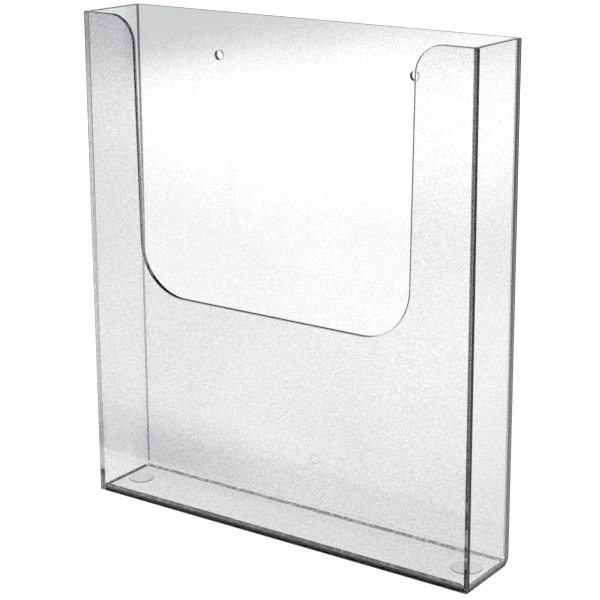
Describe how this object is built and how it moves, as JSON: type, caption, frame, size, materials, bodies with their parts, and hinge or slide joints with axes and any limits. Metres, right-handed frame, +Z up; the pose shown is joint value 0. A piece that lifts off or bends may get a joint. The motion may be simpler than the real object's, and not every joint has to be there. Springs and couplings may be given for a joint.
{
  "type": "brochure rack",
  "caption": "Clear wall-mounted leaflet pocket of cemented sheets, with a U-shaped finger cutout in the front and screw holes in the back.",
  "frame": {"origin": "middle of the footprint, on the underside", "axes": "+X to the right for someone facing the rack, +Y towards the wall behind it, +Z up"},
  "size_m": [0.23, 0.041, 0.26],
  "materials": {
    "clear_sheet": "clear sheet with polished faces and edges",
    "clear_disc": "clear soft disc, slightly satin"
  },
  "bodies": {
    "root": {"front_panel": "clear_sheet", "back_and_floor_sheet": "clear_sheet", "left_side_panel": "clear_sheet", "right_side_panel": "clear_sheet", "left_floor_disc": "clear_disc", "right_floor_disc": "clear_disc"}
  },
  "joints": []
}
